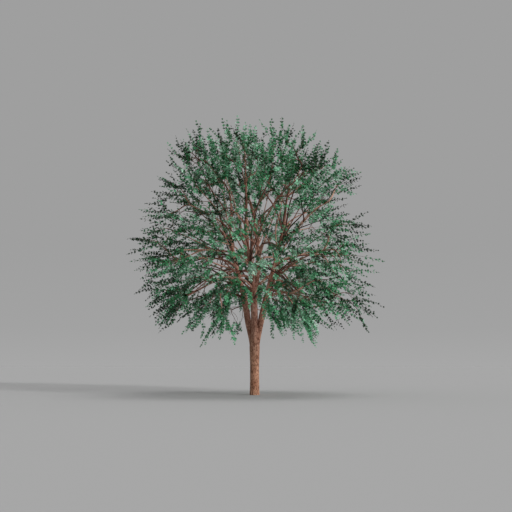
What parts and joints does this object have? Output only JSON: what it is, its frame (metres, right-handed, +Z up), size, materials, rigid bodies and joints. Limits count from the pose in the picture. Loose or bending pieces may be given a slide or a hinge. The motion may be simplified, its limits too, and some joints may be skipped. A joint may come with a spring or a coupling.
{
  "type": "maple tree",
  "caption": "Broad, rounded broadleaf tree on a short trunk that forks into upright leaders, rooted in level ground, for planting in a scene.",
  "frame": {"origin": "middle of the flat cut under the trunk, at ground level", "axes": "+Z up along the trunk, -Y the front, +X the tree's right as seen from the front"},
  "size_m": [11.1591, 11.0597, 11.9977],
  "materials": {
    "trunk_bark": "rough grey-brown bark with fine broken ridges",
    "bough_bark": "smoother reddish-brown bark",
    "foliage": "satin green leaves in sprays"
  },
  "bodies": {
    "root": {"back_leader": "bough_bark", "crest_bough_1": "bough_bark", "crest_mass_1": "foliage", "front_leader": "bough_bark", "girth_bough_1": "bough_bark", "girth_bough_2": "bough_bark", "girth_bough_3": "bough_bark", "girth_bough_4": "bough_bark", "girth_bough_5": "bough_bark", "girth_bough_6": "bough_bark", "girth_bough_7": "bough_bark", "girth_bough_8": "bough_bark", "girth_mass_1": "foliage", "girth_mass_2": "foliage", "girth_mass_3": "foliage", "girth_mass_4": "foliage", "girth_mass_5": "foliage", "girth_mass_6": "foliage", "girth_mass_7": "foliage", "girth_mass_8": "foliage", "left_leader": "bough_bark", "right_leader": "bough_bark", "shoulder_bough_1": "bough_bark", "shoulder_bough_2": "bough_bark", "shoulder_bough_3": "bough_bark", "shoulder_bough_4": "bough_bark", "shoulder_bough_5": "bough_bark", "shoulder_bough_6": "bough_bark", "shoulder_bough_7": "bough_bark", "shoulder_mass_1": "foliage", "shoulder_mass_2": "foliage", "shoulder_mass_3": "foliage", "shoulder_mass_4": "foliage", "shoulder_mass_5": "foliage", "shoulder_mass_6": "foliage", "shoulder_mass_7": "foliage", "skirt_bough_1": "bough_bark", "skirt_bough_2": "bough_bark", "skirt_bough_3": "bough_bark", "skirt_bough_4": "bough_bark", "skirt_bough_5": "bough_bark", "skirt_bough_6": "bough_bark", "skirt_bough_7": "bough_bark", "skirt_mass_1": "foliage", "skirt_mass_2": "foliage", "skirt_mass_3": "foliage", "skirt_mass_4": "foliage", "skirt_mass_5": "foliage", "skirt_mass_6": "foliage", "skirt_mass_7": "foliage", "top_bough_3": "bough_bark", "top_mass_1": "foliage", "top_mass_2": "foliage", "top_mass_3": "foliage", "top_mass_4": "foliage", "top_mass_5": "foliage", "trunk": "trunk_bark"}
  },
  "joints": []
}
